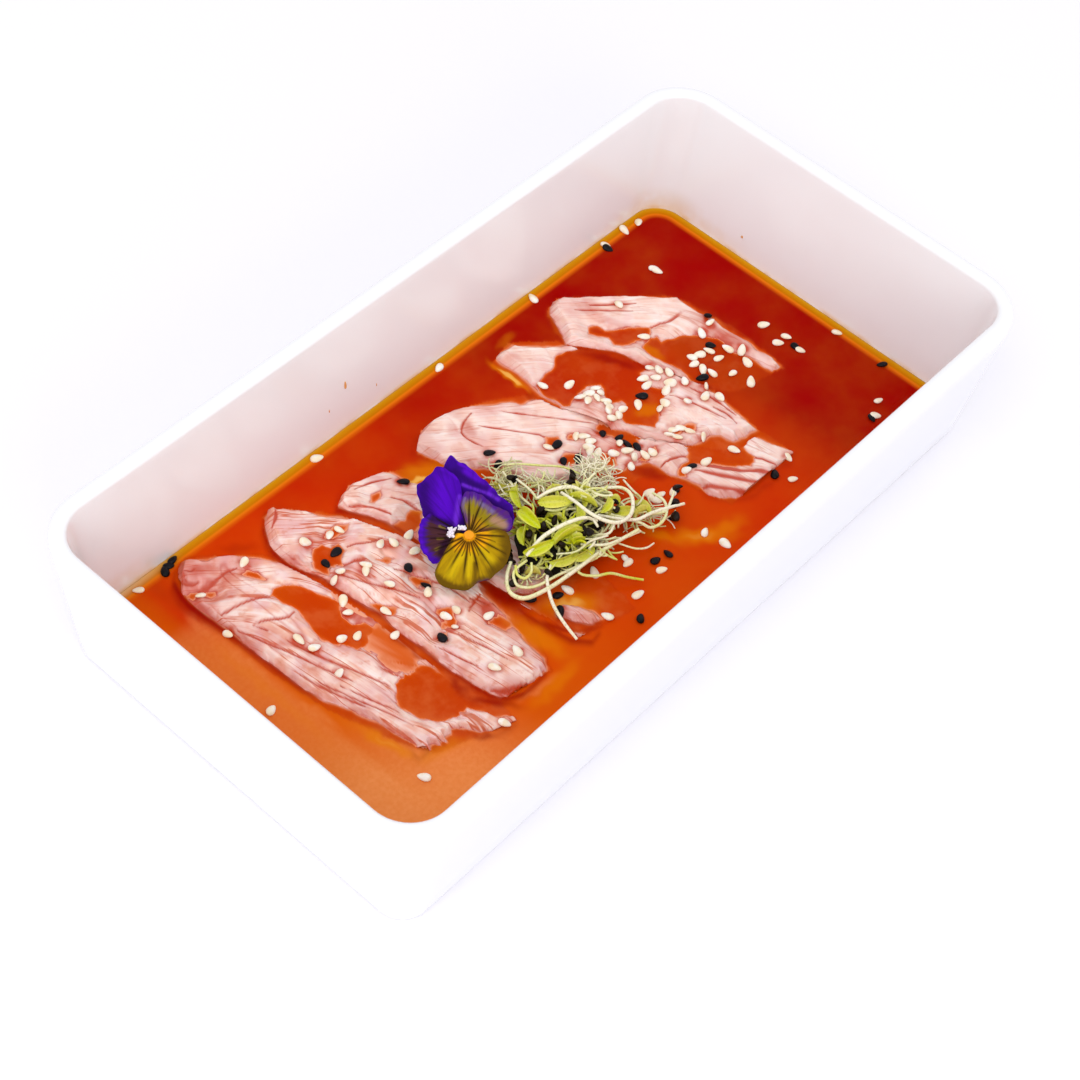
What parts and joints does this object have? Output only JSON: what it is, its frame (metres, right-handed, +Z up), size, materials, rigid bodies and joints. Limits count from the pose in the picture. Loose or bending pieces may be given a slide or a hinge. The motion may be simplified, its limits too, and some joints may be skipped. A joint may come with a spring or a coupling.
{
  "type": "fish carpaccio in a rectangular dish",
  "caption": "Thin pale fish slices shingled in red sauce, with sesame seeds, sprouts and a viola, served in a white rectangular dish.",
  "frame": {"origin": "centre of the dish's foot, on the surface that the dish stands on", "axes": "+X along the dish towards the end with open sauce, +Y across the dish towards the slices' raised tips, +Z up"},
  "size_m": [0.2366, 0.1224, 0.046],
  "materials": {
    "porcelain": "gloss",
    "sauce": "gloss",
    "fish": "satin",
    "sprouts": "satin",
    "petal_violet": "satin",
    "petal_gold": "satin",
    "flower_eye": "satin",
    "leaf_green": "satin"
  },
  "bodies": {
    "root": {"dish": "porcelain", "sauce": "sauce", "tuna_slice_1": "fish", "tuna_slice_2": "fish", "tuna_slice_3": "fish", "tuna_slice_4": "fish", "tuna_slice_5": "fish", "tuna_slice_6": "fish", "sprouts": "sprouts", "viola_petal_upper_left": "petal_violet", "viola_petal_upper_right": "petal_violet", "viola_petal_side_left": "petal_violet", "viola_petal_side_right": "petal_gold", "viola_petal_lip": "petal_gold", "viola_eye": "flower_eye", "viola_calyx": "leaf_green"}
  },
  "joints": []
}
